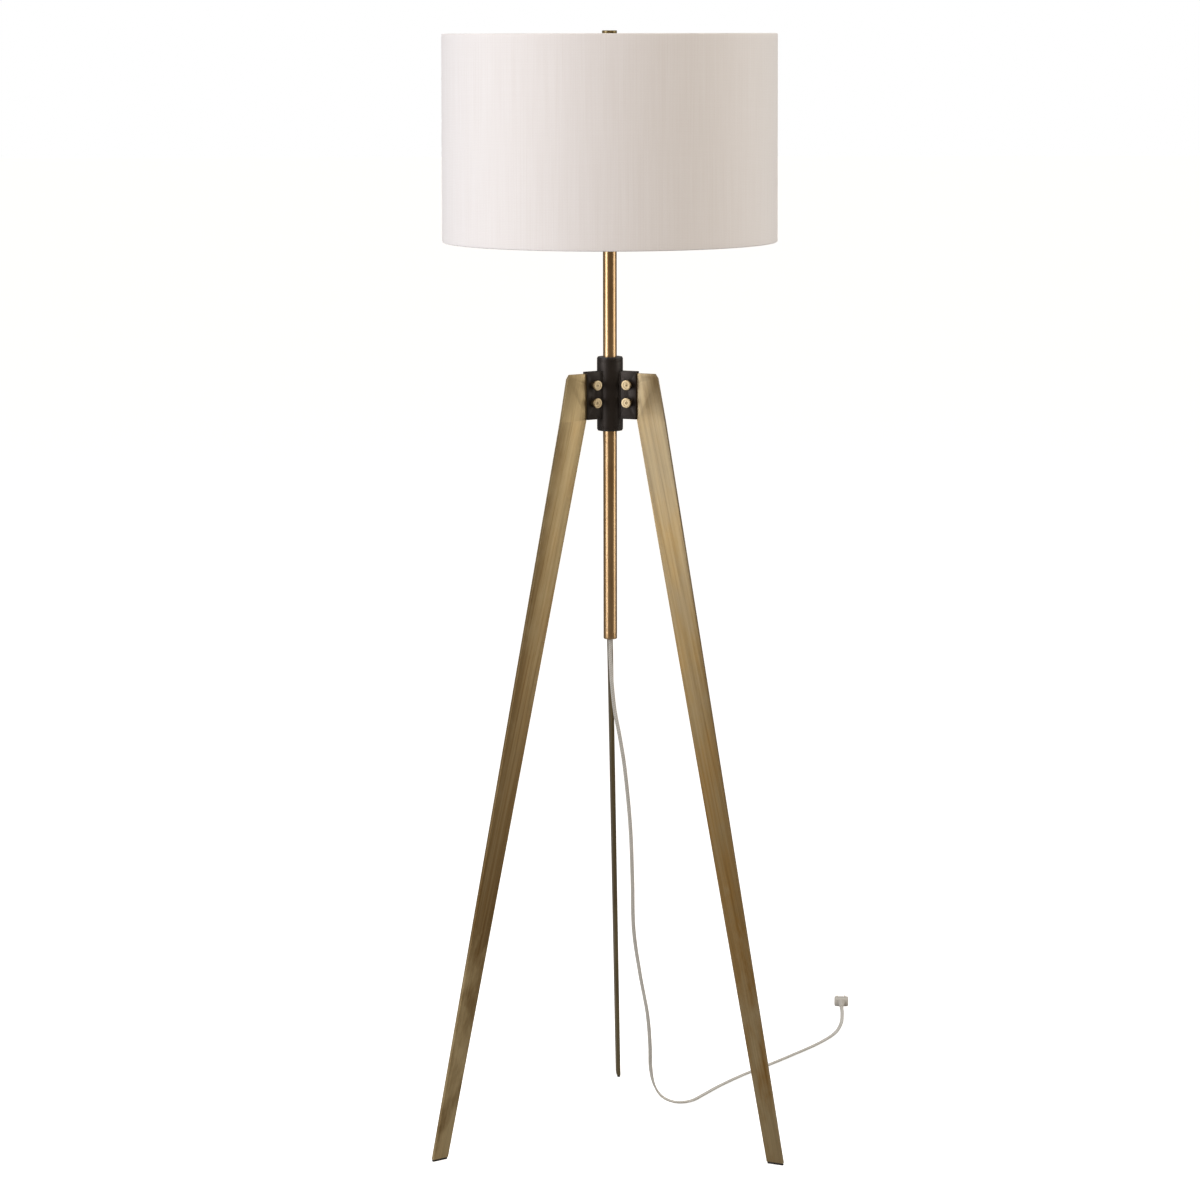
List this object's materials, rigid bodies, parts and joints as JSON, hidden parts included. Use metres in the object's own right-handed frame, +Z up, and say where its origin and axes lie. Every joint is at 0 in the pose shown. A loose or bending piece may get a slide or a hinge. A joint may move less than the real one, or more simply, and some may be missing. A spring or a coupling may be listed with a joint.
{
  "type": "tripod floor lamp",
  "caption": "Floor lamp with flat-bar tripod legs on a sleeve, a pole that slides in it, and a drum shade on a harp over a screw-base bulb.",
  "frame": {"origin": "on the floor, on the pole's axis", "axes": "+Z up along the pole, -Y to the lamp's front, +X to the right seen from the front"},
  "size_m": [0.6344, 0.9003, 1.5558],
  "materials": {
    "black_paint": "satin black powder coat",
    "antique_brass": "antique brushed along the bar",
    "pole_brass": "brushed and lacquered",
    "zinc_steel": "bright zinc plate",
    "bush_nylon": "moulded nylon",
    "foot_rubber": "moulded",
    "socket_brass": "bright dip",
    "phenolic": "moulded phenolic",
    "fibre_paper": "pressed fibre",
    "shell_aluminium": "rolled sheet",
    "knob_phenolic": "moulded phenolic",
    "bulb_glass": "inside frosted",
    "shade_fabric": "fine plain weave",
    "shade_liner": "smooth styrene sheet",
    "shade_wire": "white dip coat",
    "finial_brass": "turned",
    "cord_jacket": "clear PVC over tinned wire"
  },
  "bodies": {
    "stand": {"hub_sleeve": "black_paint", "sleeve_bush_upper": "bush_nylon", "sleeve_bush_lower": "bush_nylon", "bracket_right": "black_paint", "bracket_rear": "black_paint", "bracket_left": "black_paint", "leg_right": "antique_brass", "leg_rear": "antique_brass", "leg_left": "antique_brass", "foot_pad_right": "foot_rubber", "foot_pad_rear": "foot_rubber", "foot_pad_left": "foot_rubber", "leg_bolts_right": "finial_brass", "leg_bolts_rear": "finial_brass", "leg_bolts_left": "finial_brass", "cap_nuts_right": "finial_brass", "cap_nuts_rear": "finial_brass", "cap_nuts_left": "finial_brass", "cord": "cord_jacket", "plug_body": "cord_jacket", "plug_blades": "socket_brass"},
    "clamp": {"clamp_screw": "black_paint"},
    "pole": {"pole": "pole_brass", "pole_end_cap": "pole_brass", "pole_top_plug": "zinc_steel", "threaded_nipple": "zinc_steel", "harp_saddle": "zinc_steel", "saddle_locknut": "zinc_steel", "harp_wire": "zinc_steel", "harp_stud": "zinc_steel", "socket_cap": "socket_brass", "socket_shell": "socket_brass", "shell_insulator": "fibre_paper", "socket_core": "phenolic", "screw_shell": "shell_aluminium", "centre_contact": "socket_brass", "terminal_screws": "socket_brass", "bulb_base": "shell_aluminium", "bulb_glass": "bulb_glass", "cord_in_pole": "cord_jacket"},
    "switch": {"switch_stem": "socket_brass", "switch_knob": "knob_phenolic"},
    "ferrule_left": {"ferrule_left": "zinc_steel"},
    "ferrule_right": {"ferrule_right": "zinc_steel"},
    "shade": {"shade_fabric": "shade_fabric", "shade_liner": "shade_liner", "shade_ring_top": "shade_wire", "shade_ring_bottom": "shade_wire", "spider_washer": "shade_wire", "spider_arms": "shade_wire"},
    "finial": {"finial": "finial_brass"}
  },
  "joints": [
    {"name": "pole_slide", "type": "slide", "parent": "stand", "child": "pole", "axis": [0, 0, 1], "range_m": [0, 0.2]},
    {"name": "clamp_turn", "type": "hinge", "parent": "stand", "child": "clamp", "pos_m": [0, 0, 1.061], "axis": [0.8141, 0.5807, 0], "continuous": true},
    {"name": "switch_turn", "type": "hinge", "parent": "pole", "child": "switch", "pos_m": [0, 0, 1.329], "axis": [0, -1, 0], "continuous": true},
    {"name": "ferrule_left_slide", "type": "slide", "parent": "pole", "child": "ferrule_left", "axis": [0, 0, 1], "range_m": [0, 0.012]},
    {"name": "ferrule_right_slide", "type": "slide", "parent": "pole", "child": "ferrule_right", "axis": [0, 0, 1], "range_m": [0, 0.012]},
    {"name": "shade_turn", "type": "hinge", "parent": "pole", "child": "shade", "pos_m": [0, 0, 1.545], "axis": [0, 0, 1], "continuous": true},
    {"name": "finial_turn", "type": "hinge", "parent": "pole", "child": "finial", "pos_m": [0, 0, 1.551], "axis": [0, 0, 1], "continuous": true}
  ]
}
